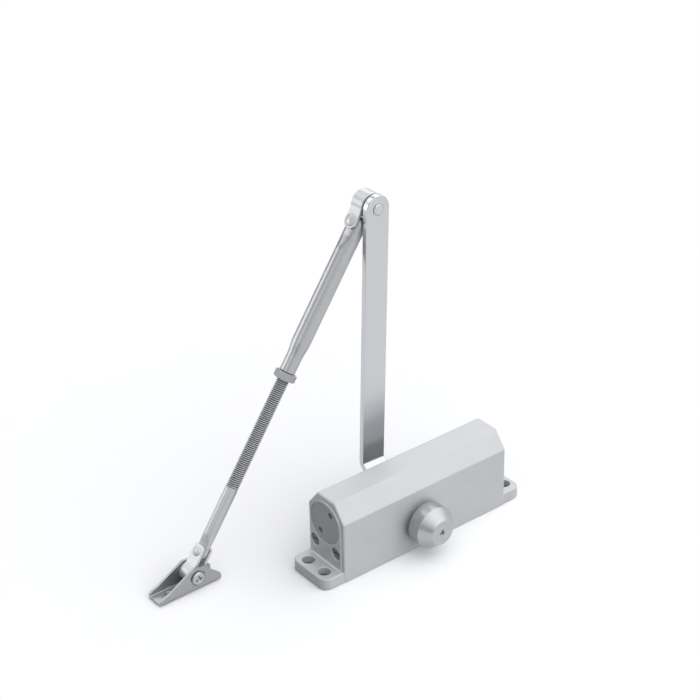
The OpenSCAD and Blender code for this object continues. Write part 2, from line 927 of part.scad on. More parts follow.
module shoe_screw() {
    near = -shoe_w / 2;
    color("gainsboro") translate([shoe_x, forearm_y, shoe_z]) difference() {
        union() {
            rod_y(near, shoe_w / 2 + 4.6, shoe_pin_r);
            rod_y(near - 1.2, near + shoe_sink, shoe_head_r);
            rod_y(near - 2.4, near - 1.2, 3.8, r2 = shoe_head_r);
        }
        translate([0, near - 2.4 - eps, 0]) rotate([-90, 0, 0]) cross_recess(6, 1.2, 1.8);
    }
}

module shoe_nut() {
    color("gray") translate([shoe_x, forearm_y + shoe_w / 2, shoe_z]) rotate([-90, 0, 0])
        difference() {
            hexagon(10, 4);
            translate([0, 0, -cut]) cylinder(h = 4 + 2 * cut, r = shoe_pin_r);
        }
}

body_casting();
end_plug_left();
end_plug_right();
plug_seal_left();
plug_seal_right();
gland_front();
gland_rear();
bearing_front();
bearing_rear();
shaft_seal_front();
shaft_seal_rear();
return_spring();
spring_seat();
piston();
piston_seal();
check_valve_seat();
check_ball();
closing_valve();
closing_valve_seal();
latching_valve();
latching_valve_seal();
pinion_shaft();
spindle_cap();
cap_screw();
main_arm();
arm_washer();
arm_screw();
elbow_rivet();
elbow_washer();
elbow_strap();
elbow_bush();
forearm_rivet();
forearm_tube();
lock_nut();
threaded_rod();
foot_rivet();
foot_strap();
foot_bush();
shoe_bracket();
shoe_screw();
shoe_nut();
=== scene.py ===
import math

import bmesh
import bpy
from mathutils import Matrix, Quaternion, Vector


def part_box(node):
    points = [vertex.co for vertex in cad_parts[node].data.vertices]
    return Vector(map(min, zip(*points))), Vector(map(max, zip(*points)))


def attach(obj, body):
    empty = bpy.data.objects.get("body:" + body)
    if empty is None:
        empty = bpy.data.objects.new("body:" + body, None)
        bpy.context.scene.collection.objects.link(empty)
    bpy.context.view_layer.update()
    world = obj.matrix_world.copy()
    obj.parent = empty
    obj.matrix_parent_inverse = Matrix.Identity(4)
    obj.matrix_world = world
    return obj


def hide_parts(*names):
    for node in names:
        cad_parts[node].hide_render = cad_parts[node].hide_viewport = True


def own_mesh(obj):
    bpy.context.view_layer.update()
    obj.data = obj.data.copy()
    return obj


# Door closer. Lengths in this script are millimetres, and MM turns them into metres.
MM = 0.001

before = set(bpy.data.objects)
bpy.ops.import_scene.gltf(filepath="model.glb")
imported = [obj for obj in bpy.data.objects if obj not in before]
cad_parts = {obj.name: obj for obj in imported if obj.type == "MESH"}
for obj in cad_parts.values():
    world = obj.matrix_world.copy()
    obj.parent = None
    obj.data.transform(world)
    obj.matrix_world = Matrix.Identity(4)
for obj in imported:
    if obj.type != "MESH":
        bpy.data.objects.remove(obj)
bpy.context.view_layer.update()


# ---------- places, read from the frame ----------

def middle(node):
    """Middle of a CAD node's box, in millimetres."""
    low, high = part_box(node)
    return (low + high) / 2 / MM


def corner(node, high=True):
    """Highest or lowest corner of a CAD node's box, in millimetres."""
    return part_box(node)[1 if high else 0] / MM


def axes(origin, x_axis, z_axis):
    """A place: its origin in millimetres, and the way its own X and Z point."""
    z = Vector(z_axis).normalized()
    y = z.cross(Vector(x_axis)).normalized()
    turn = Matrix((y.cross(z), y, z)).transposed().to_4x4()
    return Matrix.Translation(Vector(origin) * MM) @ turn


BODY_HIGH = corner("body_casting")
SPINDLE = middle("gland_front")
ELBOW = middle("elbow_rivet")
SHOE = middle("shoe_screw")
ARM_BACK = corner("main_arm").y
FOREARM_Y = middle("elbow_bush").y
SHOE_PIN = Vector((SHOE.x, FOREARM_Y, SHOE.z))
ELBOW_PIN = Vector((ELBOW.x, FOREARM_Y, ELBOW.z))
FOREARM_LEN = (ELBOW_PIN - SHOE_PIN).length
ARM_LEN = Vector((ELBOW.x - SPINDLE.x, 0, ELBOW.z - SPINDLE.z)).length

X, Y, Z = (1, 0, 0), (0, 1, 0), (0, 0, 1)
WORLD = Matrix.Identity(4)
ALONG_X = axes((0, 0, 0), Y, X)
FROM_FRONT = axes((0, 0, 0), X, (0, -1, 0))
SPINDLE_FRONT = axes((SPINDLE.x, 0, SPINDLE.z), X, (0, -1, 0))
SPINDLE_REAR = axes((SPINDLE.x, 0, SPINDLE.z), X, Y)
ELBOW_REAR = axes((ELBOW.x, 0, ELBOW.z), X, Y)
SHOE_FRONT = axes(SHOE_PIN, X, (0, -1, 0))
SHOE_REAR = axes(SHOE_PIN, X, Y)
ARM_UP = Vector((ELBOW.x - SPINDLE.x, 0, ELBOW.z - SPINDLE.z)).normalized()
ARM_SIDE = Vector((ARM_UP.z, 0, -ARM_UP.x))
ARM = axes((SPINDLE.x, 0, SPINDLE.z), ARM_SIDE, ARM_UP)
FOREARM_UP = (ELBOW_PIN - SHOE_PIN).normalized()
FOREARM_SIDE = Vector((FOREARM_UP.z, 0, -FOREARM_UP.x))
FOREARM = axes(SHOE_PIN, FOREARM_SIDE, FOREARM_UP)


def across(along):
    """A place on the forearm whose Z lies across it, at a distance from the shoe pin."""
    return axes(SHOE_PIN + FOREARM_UP * along, Y, FOREARM_SIDE)


def pin_place(along):
    """A place on the forearm whose Z is the pin of the elbow or the shoe."""
    return axes(SHOE_PIN + FOREARM_UP * along, FOREARM_SIDE, (0, -1, 0))


# ---------- outlines ----------

def arc(centre, radius, start, end, steps):
    """Points of an arc, angles in degrees."""
    angles = [math.radians(start + (end - start) * k / steps) for k in range(steps + 1)]
    return [(centre[0] + radius * math.cos(a), centre[1] + radius * math.sin(a)) for a in angles]


def rounded(points, radius, closed=True, steps=5):
    """An outline with its corners rounded. radius is one number, or one for each corner."""
    count = len(points)
    radii = radius if isinstance(radius, (list, tuple)) else [radius] * count
    result = []
    for i, (point, r) in enumerate(zip(points, radii)):
        if r <= 0 or (not closed and i in (0, count - 1)):
            result.append(tuple(point))
            continue
        here = Vector(point)
        before = (Vector(points[i - 1]) - here).normalized()
        after = (Vector(points[(i + 1) % count]) - here).normalized()
        half = before.angle(after) / 2
        centre = here + (before + after).normalized() * r / math.sin(half)
        start = here + before * r / math.tan(half) - centre
        finish = here + after * r / math.tan(half) - centre
        for k in range(steps + 1):
            result.append(tuple(centre + start.lerp(finish, k / steps).normalized() * r))
    return result


def inset(outline, distance):
    """A counter-clockwise outline moved inwards."""
    result = []
    for i, point in enumerate(outline):
        here = Vector(point)
        ahead = (Vector(outline[(i + 1) % len(outline)]) - here).normalized()
        behind = (here - Vector(outline[i - 1])).normalized()
        normal_a = Vector((-behind.y, behind.x))
        normal_b = Vector((-ahead.y, ahead.x))
        move = (normal_a + normal_b) / max(1 + normal_a.dot(normal_b), 0.2)
        result.append(tuple(here + move * distance))
    return result


def hexagon(across_flats):
    """Corners of a hexagon."""
    return arc((0, 0), across_flats / 2 / math.cos(math.radians(30)), 0, 300, 5)


def ease(share):
    """A share from 0 to 1 that starts and ends gently."""
    return share * share * (3 - 2 * share)


def towards(outline, sign):
    """The outline as it is for 1, or turned upside down for -1, still counter-clockwise."""
    return outline if sign > 0 else [(x, -y) for x, y in reversed(outline)]


def mirrored(outline):
    """The outline on the other side of the vertical axis, still counter-clockwise."""
    return [(-x, y) for x, y in reversed(outline)]


# ---------- solids ----------

def solid(name, rings, place=WORLD, ring_closed=False):
    """A mesh through rings of points, with flat ends, or joined end to start."""
    bm = bmesh.new()
    loops = [[bm.verts.new(Vector(point) * MM) for point in ring] for ring in rings]
    pairs = list(zip(loops, loops[1:] + loops[:1] if ring_closed else loops[1:]))
    for low, high in pairs:
        for i in range(len(low)):
            j = (i + 1) % len(low)
            bm.faces.new((low[i], low[j], high[j], high[i]))
    if not ring_closed:
        bm.faces.new(loops[0][::-1])
        bm.faces.new(loops[-1])
    bmesh.ops.remove_doubles(bm, verts=bm.verts, dist=1e-7)
    bmesh.ops.recalc_face_normals(bm, faces=bm.faces)
    mesh = bpy.data.meshes.new(name)
    bm.to_mesh(mesh)
    bm.free()
    piece = bpy.data.objects.new(name, mesh)
    bpy.context.scene.collection.objects.link(piece)
    piece.matrix_world = place
    return piece


def prism(name, outline, low, high, place=WORLD, edges=(0.4, 0.4), steps=3):
    """An outline pulled along the place's Z, with a rounded rim at each end."""
    rings = []
    for end, inward, radius in ((low, 1, edges[0]), (high, -1, edges[1])):
        layer = []
        for k in range(steps + 1 if radius else 1):
            turn = math.radians(90 * k / steps) if radius else math.radians(90)
            height = end + inward * radius * (1 - math.cos(turn))
            ring = inset(outline, radius * (1 - math.sin(turn))) if radius else outline
            layer.append([(x, y, height) for x, y in ring])
        rings += layer if inward > 0 else layer[::-1]
    return solid(name, rings, place)


def lathe(name, profile, place, closed=False, segments=72):
    """A profile of (radius, height) turned about the place's Z."""
    turns = [math.tau * k / segments for k in range(segments)]
    rings = [[(r * math.cos(t), r * math.sin(t), h) for t in turns] for r, h in profile]
    return solid(name, rings, place, closed)


def washer(name, r_in, r_out, low, high, place, edge=0.3):
    """A ring with rounded edges."""
    corners = [(r_in, low), (r_out, low), (r_out, high), (r_in, high)]
    return lathe(name, rounded(corners, edge, steps=3), place, closed=True)


def rod(radius, low, high, place, chamfer=0, segments=72):
    """A plain cutting rod, wider at its high end if it has a chamfer."""
    profile = [(0, low), (radius, low), (radius, high - chamfer), (radius + chamfer, high)]
    if chamfer:
        profile.append((radius + chamfer, high + 1))
    return lathe("tool", profile + [(0, high + (1 if chamfer else 0))], place, segments=segments)


def combine(piece, tools, operation="DIFFERENCE"):
    """Cuts tools from a piece, joins them to it or keeps what they share."""
    for tool in tools:
        step = piece.modifiers.new("step", "BOOLEAN")
        step.operation = operation
        step.object = tool
        step.solver = "EXACT"
    view = bpy.context.evaluated_depsgraph_get()
    mesh = bpy.data.meshes.new_from_object(piece.evaluated_get(view))
    piece.modifiers.clear()
    piece.data = mesh
    for tool in tools:
        bpy.data.objects.remove(tool)
    return piece


def finish(piece, name, body, slot, *nodes, sharp=38):
    """Gives a piece its name, shading and finish, and puts it on its body for CAD nodes."""
    piece.name = name
    piece.data.name = name
    piece.data.materials.clear()
    piece.data.materials.append(MATERIALS[slot])
    piece.data.shade_smooth()
    piece.data.set_sharp_from_angle(angle=math.radians(sharp))
    weighted = piece.modifiers.new("weighted", "WEIGHTED_NORMAL")
    weighted.keep_sharp = True
    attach(piece, body)
    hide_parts(*nodes)
    return piece


# ---------- materials ----------

# The adjusting rod's thread: where it starts along the forearm, its depth and its outer radius.
THREAD_FROM = 70
THREAD_DEPTH = 0.9
ROD_R = 4.95

# The painted shade in the thread's roots (the share of the colour left at the deepest root), the
# mottle's repeats per metre, the share of the fine marks in it and how much brushed marks are
# squeezed along their length.
ROOT_PAINTED_SHADE = 0.15
MOTTLE_SCALE = 45
GRAIN_SHARE = 0.45
BRUSH_STRETCH = 0.03


def link_range(nodes, links, source, low, high, span=(0.0, 1.0)):
    """Maps a value, which runs over a span, onto a range."""
    node = nodes.new("ShaderNodeMapRange")
    node.inputs["From Min"].default_value = span[0]
    node.inputs["From Max"].default_value = span[1]
    node.inputs["To Min"].default_value = low
    node.inputs["To Max"].default_value = high
    links.new(source, node.inputs["Value"])
    return node.outputs["Result"]


def noise(nodes, links, place, scale, detail=3.0):
    """A noise value over a place, with scale in repeats per metre."""
    node = nodes.new("ShaderNodeTexNoise")
    node.inputs["Scale"].default_value = scale
    node.inputs["Detail"].default_value = detail
    links.new(place, node.inputs["Vector"])
    return node.outputs["Fac"]


def stretched(nodes, links, place, scale):
    """A place scaled by a different amount along each axis."""
    node = nodes.new("ShaderNodeMapping")
    node.inputs["Scale"].default_value = scale
    links.new(place, node.inputs["Vector"])
    return node.outputs["Vector"]


def turned(nodes, links, place):
    """A place that changes only with the distance from the piece's Z and along it."""
    parts = nodes.new("ShaderNodeSeparateXYZ")
    links.new(place, parts.inputs["Vector"])
    flat = nodes.new("ShaderNodeCombineXYZ")
    links.new(parts.outputs["X"], flat.inputs["X"])
    links.new(parts.outputs["Y"], flat.inputs["Y"])
    radius = nodes.new("ShaderNodeVectorMath")
    radius.operation = "LENGTH"
    links.new(flat.outputs["Vector"], radius.inputs[0])
    rings = nodes.new("ShaderNodeCombineXYZ")
    links.new(radius.outputs["Value"], rings.inputs["X"])
    links.new(parts.outputs["Z"], rings.inputs["Z"])
    return rings.outputs["Vector"]


def painted_root_shade(nodes, links, place, colour):
    """Paints shade into the roots of the adjusting rod's thread: darkens the colour there, in place
    of the shadow in the grooves.
    """
    parts = nodes.new("ShaderNodeSeparateXYZ")
    links.new(turned(nodes, links, place), parts.inputs["Vector"])
    root, crest = (ROD_R - THREAD_DEPTH) * MM, (ROD_R - 0.2) * MM
    lit = link_range(nodes, links, parts.outputs["X"], ROOT_PAINTED_SHADE, 1.0, (root, crest))
    plain_end, thread_start = (THREAD_FROM - 1) * MM, THREAD_FROM * MM
    plain = link_range(nodes, links, parts.outputs["Z"], 1.0, 0.0, (plain_end, thread_start))
    share = nodes.new("ShaderNodeMath")
    share.operation = "MAXIMUM"
    links.new(lit, share.inputs[0])
    links.new(plain, share.inputs[1])
    shaded = nodes.new("ShaderNodeVectorMath")
    shaded.operation = "SCALE"
    links.new(colour, shaded.inputs[0])
    links.new(share.outputs["Value"], shaded.inputs["Scale"])
    return shaded.outputs["Vector"]


def mottled(nodes, links, place, fine):
    """A value from 0 to 1: a soft mottle and a share of the fine marks."""
    both = nodes.new("ShaderNodeMath")
    both.operation = "MULTIPLY_ADD"
    both.inputs[1].default_value = GRAIN_SHARE
    links.new(fine, both.inputs[0])
    mottle = noise(nodes, links, place, MOTTLE_SCALE, 4)
    links.new(link_range(nodes, links, mottle, 0.0, 1 - GRAIN_SHARE), both.inputs[2])
    return both.outputs["Value"]


def blended(nodes, links, shade, dark, light):
    """A colour between two, by a value from 0 to 1."""
    colours = nodes.new("ShaderNodeMix")
    colours.data_type = "RGBA"
    colours.inputs["A"].default_value = (*dark, 1)
    colours.inputs["B"].default_value = (*light, 1)
    links.new(shade, colours.inputs["Factor"])
    return colours.outputs["Result"]


def surface(name, dark, light, metallic, rough, grain, bump, marks="grain", specular=0.5):
    """A finish: two close colours in a soft mottle, with fine marks in bump and roughness.

    rough is the range of roughness. grain is the size of the fine marks in millimetres, bump
    their depth in millimetres, and marks their form: even grain, brushed along the piece's Z,
    turned about it, or the even grain of the adjusting rod with painted shade in the roots of its
    thread."""
    material = bpy.data.materials.new(name)
    material.use_nodes = True
    nodes = material.node_tree.nodes
    links = material.node_tree.links
    shader = nodes["Principled BSDF"]
    shader.inputs["Metallic"].default_value = metallic
    shader.inputs["Specular IOR Level"].default_value = specular
    place = nodes.new("ShaderNodeTexCoord").outputs["Object"]
    fine_place = place
    if marks == "brushed":
        fine_place = stretched(nodes, links, place, (1, 1, BRUSH_STRETCH))
    if marks == "turned":
        fine_place = turned(nodes, links, place)
    fine = noise(nodes, links, fine_place, 1 / (grain * MM), 2)
    shade = mottled(nodes, links, place, fine)
    colour = blended(nodes, links, shade, dark, light)
    # Painted shade: the colour is darkened in the thread's roots, where their own shadow falls.
    if marks == "threaded":
        colour = painted_root_shade(nodes, links, place, colour)
    links.new(colour, shader.inputs["Base Color"])
    links.new(link_range(nodes, links, shade, *rough), shader.inputs["Roughness"])
    relief = nodes.new("ShaderNodeBump")
    relief.inputs["Strength"].default_value = 0.6
    relief.inputs["Distance"].default_value = bump * MM
    links.new(fine, relief.inputs["Height"])
    links.new(relief.outputs["Normal"], shader.inputs["Normal"])
    return material


def grey(value, blue=1.03):
    """A slightly blue grey."""
    return (value * 0.985, value, value * blue)


MATERIALS = {}


def add_finish(slot, *look):
    """Makes the finish of a slot, whose look is what surface() takes after the name."""
    MATERIALS[slot] = surface(slot, *look)


add_finish("casting_paint", grey(0.50), grey(0.62), 0.25, (0.42, 0.55), 0.7, 0.03)
add_finish("plug_grey", grey(0.33), grey(0.42), 0.25, (0.42, 0.55), 0.7, 0.03)
add_finish("gland_zinc", grey(0.30), grey(0.42), 0.9, (0.28, 0.42), 0.35, 0.02, "turned")
add_finish("seal_rubber", (0.012, 0.012, 0.013), (0.03, 0.03, 0.032), 0.0, (0.6, 0.8), 0.5, 0.03)
add_finish("spring_steel", grey(0.16), grey(0.26), 0.9, (0.3, 0.5), 0.4, 0.02)
add_finish("bronze", (0.42, 0.25, 0.10), (0.60, 0.40, 0.19), 0.9, (0.35, 0.55), 0.3, 0.02)
add_finish("machined_steel", grey(0.38), grey(0.52), 0.95, (0.22, 0.36), 0.4, 0.015)
add_finish("cap_satin", grey(0.43), grey(0.53), 0.85, (0.27, 0.36), 0.4, 0.008, "turned")
add_finish("screw_bright", grey(0.42), grey(0.56), 0.9, (0.2, 0.32), 0.5, 0.012, "turned")
add_finish("screw_dark", grey(0.13), grey(0.21), 0.7, (0.35, 0.5), 0.4, 0.02)
add_finish("arm_paint", grey(0.56), grey(0.61), 0.92, (0.22, 0.27), 0.5, 0.003)
add_finish("strap_zinc", grey(0.55), grey(0.66), 0.45, (0.32, 0.42), 0.6, 0.01)
add_finish("nylon", (0.66, 0.63, 0.52), (0.76, 0.73, 0.63), 0.0, (0.4, 0.5), 0.5, 0.01)
add_finish("tube_satin", grey(0.42), grey(0.52), 0.6, (0.26, 0.36), 0.5, 0.012, "brushed")
# The rod's finish carries painted shade in the roots of its thread.
add_finish("rod_zinc", grey(0.48), grey(0.58), 0.5, (0.3, 0.42), 0.4, 0.01, "threaded")
add_finish("shoe_zinc", grey(0.33), grey(0.44), 0.7, (0.28, 0.38), 0.6, 0.01)


# ---------- housing ----------

# Block: half length, half width, height of the straight sides and half width of the top.
BLOCK_HALF = 80
HALF_W = BODY_HIGH.y
WALL_TOP = 51
TOP_HALF = 10

# Flanges: their ends, thickness and corners, and the screw holes in them.
FLANGE_END = BODY_HIGH.x
FLANGE_T = 9
FLANGE_R = 7
HOLE_X = 90
HOLE_Y = 9.5
HOLE_R = 4.8

# Raised boss on both ends.
BOSS_T = 1.3
BOSS_R = 18.5
BOSS_END = BLOCK_HALF + BOSS_T

# Bore for the piston, the threaded plug in each end of it and the plug's two spanner holes.
BORE_R = 17
BORE_Z = 43
PLUG_FACE = BOSS_END - 0.6
PLUG_LENGTH = 11
SPANNER_R = 11.2
SPANNER_TURN = 33

# Speed valves: their places, the mouth of each recess, how deep the head sits and the bore behind.
VALVE_Y = 12.5
VALVE_Z = 22
VALVE_MOUTH_R = 4.8
VALVE_MOUTH = 3
VALVE_SINK = 1.2
VALVE_BORE_R = 3

# Bore for the spindle, the seats of the two glands and the glands.
SHAFT_BORE_R = 10.2
GLAND_SEAT = 16
GLAND_SEAT_R = 11.5
GLAND_R = 13
GLAND_BORE_R = 7.25


def block():
    """Main block: straight sides, long chamfers, narrow top, soft ends."""
    section = [(-HALF_W, 0), (HALF_W, 0), (HALF_W, WALL_TOP), (TOP_HALF, BODY_HIGH.z),
               (-TOP_HALF, BODY_HIGH.z), (-HALF_W, WALL_TOP)]
    outline = rounded(section, [0, 0, 2.4, 2.4, 2.4, 2.4])
    return prism("block", outline, -BLOCK_HALF, BLOCK_HALF, ALONG_X, (1.4, 1.4), 4)


def flange(side, low, high, shrink, edges):
    """Flange outline at one end, pulled up, for the flange itself or for its relief."""
    inner, outer, wide = BLOCK_HALF - 10, FLANGE_END - shrink, HALF_W - 0.5 - shrink
    corners = [(inner, -wide), (outer, -wide), (outer, wide), (inner, wide)]
    outline = rounded(corners, [0, FLANGE_R - shrink, FLANGE_R - shrink, 0], steps=8)
    if side < 0:
        outline = mirrored(outline)
    return prism("flange", outline, low, high, WORLD, edges)


def flange_relief(side):
    """Cored relief under a flange, kept clear of the block above."""
    tool = flange(side, -1, 3, 3, (0, 0.5))
    near, far = BLOCK_HALF - 2, FLANGE_END + 5
    keep = [(near, -HALF_W), (far, -HALF_W), (far, HALF_W), (near, HALF_W)]
    if side < 0:
        keep = mirrored(keep)
    return combine(tool, [prism("keep", keep, -2, 4, WORLD, (0, 0))], "INTERSECT")


def end_boss():
    """Raised D-shaped boss that stands out of both ends."""
    outline = [(-BOSS_R, FLANGE_T - 2), (BOSS_R, FLANGE_T - 2)]
    outline += arc((0, BORE_Z), BOSS_R, 0, 180, 36)
    return prism("boss", outline, -BOSS_END, BOSS_END, ALONG_X, (0.5, 0.5))


def root_fillet(side):
    """Hollow fillet between a flange and the end face above it."""
    radius, overlap = 1.6, 0.8
    foot_x, foot_z = BOSS_END - 0.05, FLANGE_T - 0.05
    outline = [(foot_x - overlap, foot_z - overlap), (foot_x + radius, foot_z - overlap)]
    outline += arc((foot_x + radius, foot_z + radius), radius, 270, 180, 6)
    outline += [(foot_x - overlap, foot_z + radius)]
    if side < 0:
        outline = mirrored(outline)
    return prism("fillet", outline, -BOSS_R + 0.3, BOSS_R - 0.3, FROM_FRONT, (0.2, 0.2))


def make_casting():
    """The die casting with its bores, screw holes and reliefs."""
    casting = block()
    parts = [flange(side, 0, FLANGE_T, 0, (0.3, 1.0)) for side in (-1, 1)]
    parts += [end_boss()]
    parts += [root_fillet(side) for side in (-1, 1)]
    combine(casting, parts, "UNION")
    tools = [flange_relief(side) for side in (-1, 1)]
    left = axes((0, 0, BORE_Z), Y, (-1, 0, 0))
    right = axes((0, 0, BORE_Z), Y, X)
    tools += [rod(BORE_R, -10, BOSS_END, place, 0.15, 96) for place in (left, right)]
    for place in (SPINDLE_FRONT, SPINDLE_REAR):
        tools.append(rod(SHAFT_BORE_R, -1, GLAND_SEAT + 1, place))
        tools.append(rod(GLAND_SEAT_R, GLAND_SEAT, HALF_W, place, 0.3))
    for side in (-1, 1):
        valve = axes((-BOSS_END, side * VALVE_Y, VALVE_Z), Y, (-1, 0, 0))
        tools.append(rod(VALVE_MOUTH_R, -VALVE_MOUTH, 0, valve, 0.35))
        tools.append(rod(VALVE_BORE_R, -27, -VALVE_MOUTH + 0.5, valve, 0, 48))
        for end in (-1, 1):
            hole = axes((end * HOLE_X, side * HOLE_Y, 0), X, Z)
            tools.append(rod(HOLE_R, -1, FLANGE_T, hole, 0.5))
    combine(casting, tools)
    finish(casting, "casting", "housing", "casting_paint", "body_casting", sharp=30)


def make_end_plug(side, name, node):
    """Threaded plug with two spanner holes."""
    place = axes((0, 0, BORE_Z), Y, (side, 0, 0))
    inner = BLOCK_HALF - PLUG_LENGTH
    profile = [(0, inner), (BORE_R, inner), (BORE_R, PLUG_FACE - 0.2), (BORE_R - 0.2, PLUG_FACE),
               (0, PLUG_FACE)]
    plug = lathe(name, profile, place, segments=96)
    tools = []
    for turn in (0, 180):
        angle = math.radians(turn - side * SPANNER_TURN)
        spot = (0, -SPANNER_R * math.sin(angle), BORE_Z + SPANNER_R * math.cos(angle))
        hole = axes(spot, Y, (side, 0, 0))
        tools.append(rod(2.4, PLUG_FACE - 4, PLUG_FACE, hole, 0.2, 40))
    combine(plug, tools)
    finish(plug, name, "housing", "plug_grey", node)


def make_gland(name, node, place):
    """Gland flange with a soft rim round the spindle."""
    outer = corner("gland_rear").y
    inner = corner("bearing_rear").y
    corners = [(GLAND_BORE_R, inner), (GLAND_SEAT_R, inner), (GLAND_SEAT_R, HALF_W),
               (GLAND_R, HALF_W), (GLAND_R, outer), (GLAND_BORE_R, outer)]
    ring = lathe(name, rounded(corners, [0, 0.2, 0, 0, 0.7, 0.4], steps=4), place, closed=True)
    finish(ring, name, "housing", "gland_zinc", node)


def make_valve(name, node, body, side):
    """Speed valve: a needle with a slotted head, sunk in its recess."""
    place = axes((-BOSS_END, side * VALVE_Y, VALVE_Z), Y, (-1, 0, 0))
    tip_r, stem_r, head_r = 1.2, VALVE_BORE_R - 0.05, 4.2
    under, face = -VALVE_MOUTH + 0.1, -VALVE_SINK
    profile = [(0, -26), (tip_r, -26), (tip_r, -18), (stem_r, -17), (stem_r, under),
               (head_r, under), (head_r, face - 0.3), (head_r - 0.3, face), (0, face)]
    needle = lathe(name, profile, place, segments=48)
    slot = [(-3.2, -0.6), (3.2, -0.6), (3.2, 0.6), (-3.2, 0.6)]
    combine(needle, [prism("slot", slot, face - 1.1, 0, place, (0, 0))])
    finish(needle, name, body, "screw_dark", node)


def make_spring():
    """Return spring with closed ends, squashed by the piston's travel."""
    low, high = corner("return_spring", False), corner("return_spring")
    wire_r = 1.6
    turns, steps, sides = 6, 32, 12
    mean_r = high.y - wire_r
    start = low.x + wire_r
    free = high.x - low.x - 4 * wire_r
    rings = []
    for i in range((turns + 2) * steps + 1):
        turn = i / steps
        open_share = min(max(turn - 1, 0), turns) / turns
        closed_turns = min(turn, 1) + max(turn - 1 - turns, 0)
        along = start + open_share * free + closed_turns * wire_r
        angle = math.tau * turn
        ring = []
        for k in range(sides):
            around = math.tau * k / sides
            radius = mean_r + wire_r * math.cos(around)
            ring.append((along + wire_r * math.sin(around), radius * math.cos(angle),
                         BORE_Z + radius * math.sin(angle)))
        rings.append(ring)
    spring = solid("spring", rings)
    finish(spring, "spring", "housing", "spring_steel", "return_spring")
    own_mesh(spring)


# ---------- spindle and main arm ----------

# Corners of the spindle's square ends.
SQUARE = [(-5, -5), (5, -5), (5, 5), (-5, 5)]

# Cap: the screw's head radius, head depth and shank, the tip, the skirt, its wall and the hub.
CAP_SCREW_R = 3
CAP_SCREW_DEPTH = 2.4
CAP_SCREW_SHANK_R = 2
CAP_TIP_R = 10.2
SKIRT = 10.7
SKIRT_WALL = 2.5
HUB_R = 9


def make_cap():
    """Turned cap: straight skirt, cone, flat tip with a sunk screw, hollow behind."""
    low, high = corner("spindle_cap", False), corner("spindle_cap")
    back, tip = -high.y, -low.y
    rim, seat = back + SKIRT, tip - CAP_SCREW_DEPTH
    skirt_r = (high.x - low.x) / 2
    skirt_in = skirt_r - SKIRT_WALL
    corners = [(CAP_SCREW_SHANK_R, back), (HUB_R, back), (HUB_R, rim), (skirt_in, rim),
               (skirt_in, back), (skirt_r, back), (skirt_r, rim), (CAP_TIP_R, tip),
               (CAP_SCREW_R, tip), (CAP_SCREW_R, seat), (CAP_SCREW_SHANK_R, seat)]
    radii = [0, 0.4, 0.5, 1, 0.3, 0.5, 0.9, 0.45, 0.08, 0, 0]
    cap = lathe("cap", rounded(corners, radii), SPINDLE_FRONT, closed=True, segments=96)
    square = axes((SPINDLE.x, 0, SPINDLE.z), ARM_SIDE, (0, -1, 0))
    combine(cap, [prism("socket", SQUARE, back - 1, back + 8.2, square, (0, 0))])
    finish(cap, "cap", "spindle", "cap_satin", "spindle_cap")


def cross_tool(width, thick, low, high, place):
    """Tapered cross for a driver recess, from its narrow end to its wide one."""
    arms = []
    for turn in (0, 90):
        rings = []
        for height, share in ((low, 0.45), (high, 1.0)):
            half, edge = width / 2 * share, thick / 2 * (0.6 + 0.4 * share)
            ring = [(-half, -edge), (half, -edge), (half, edge), (-half, edge)]
            rings.append([(x, y, height) for x, y in ring])
        spin = place @ Matrix.Rotation(math.radians(turn), 4, "Z")
        arms.append(solid("cross", rings, spin))
    return arms


def make_cap_screw():
    """Screw sunk in the cap's tip."""
    tip = -corner("cap_screw", False).y
    tail = -corner("cap_screw").y
    seat = tip - CAP_SCREW_DEPTH
    profile = [(0, tail), (CAP_SCREW_SHANK_R, tail), (CAP_SCREW_SHANK_R, seat),
               (CAP_SCREW_R, seat), (CAP_SCREW_R, tip - 0.1), (CAP_SCREW_R - 0.1, tip), (0, tip)]
    screw = lathe("cap_screw_turned", profile, SPINDLE_FRONT, segments=48)
    combine(screw, cross_tool(5.7, 2.0, tip - 2.3, tip + 0.3, SPINDLE_FRONT))
    finish(screw, "cap_screw_turned", "spindle", "cap_satin", "cap_screw")


# Main arm: thickness, half width, edge radius, and where its step starts and ends.
ARM_T = 5
ARM_R = 10.5
ARM_EDGE = 0.8
BEND_FROM = 14
BEND_TO = 23

# Elbow rivet: shank radius, and the depth and radius of the ring recess round its head.
RIVET_R = 3.5
RIVET_SINK = 0.5
RIVET_SINK_R = 4.9


def rounded_box(half_x, half_y, radius, steps=4):
    """A box with round corners, always with the same number of points."""
    r = max(min(radius, half_x * 0.98, half_y * 0.98), 0.01)
    points = []
    for cx, cy, start in ((1, -1, -90), (1, 1, 0), (-1, 1, 90), (-1, -1, 180)):
        points += arc((cx * (half_x - r), cy * (half_y - r)), r, start, start + 90, steps)
    return points


def arm_stations(low_y, high_y):
    """Places along the arm, as (depth along Y, distance along, half width)."""
    stations = []
    for angle in (6, 14, 24, 36, 50, 66, 80):
        turn = math.radians(angle)
        stations.append((low_y, -ARM_R * math.cos(turn), ARM_R * math.sin(turn)))
    path = [(low_y, 0), (low_y, BEND_FROM), (high_y, BEND_TO), (high_y, ARM_LEN)]
    stations += [(y, z, ARM_R) for y, z in rounded(path, 5, False, 8)]
    for angle in (10, 24, 40, 54, 66, 76, 84):
        turn = math.radians(angle)
        stations.append((high_y, ARM_LEN + ARM_R * math.sin(turn), ARM_R * math.cos(turn)))
    return stations


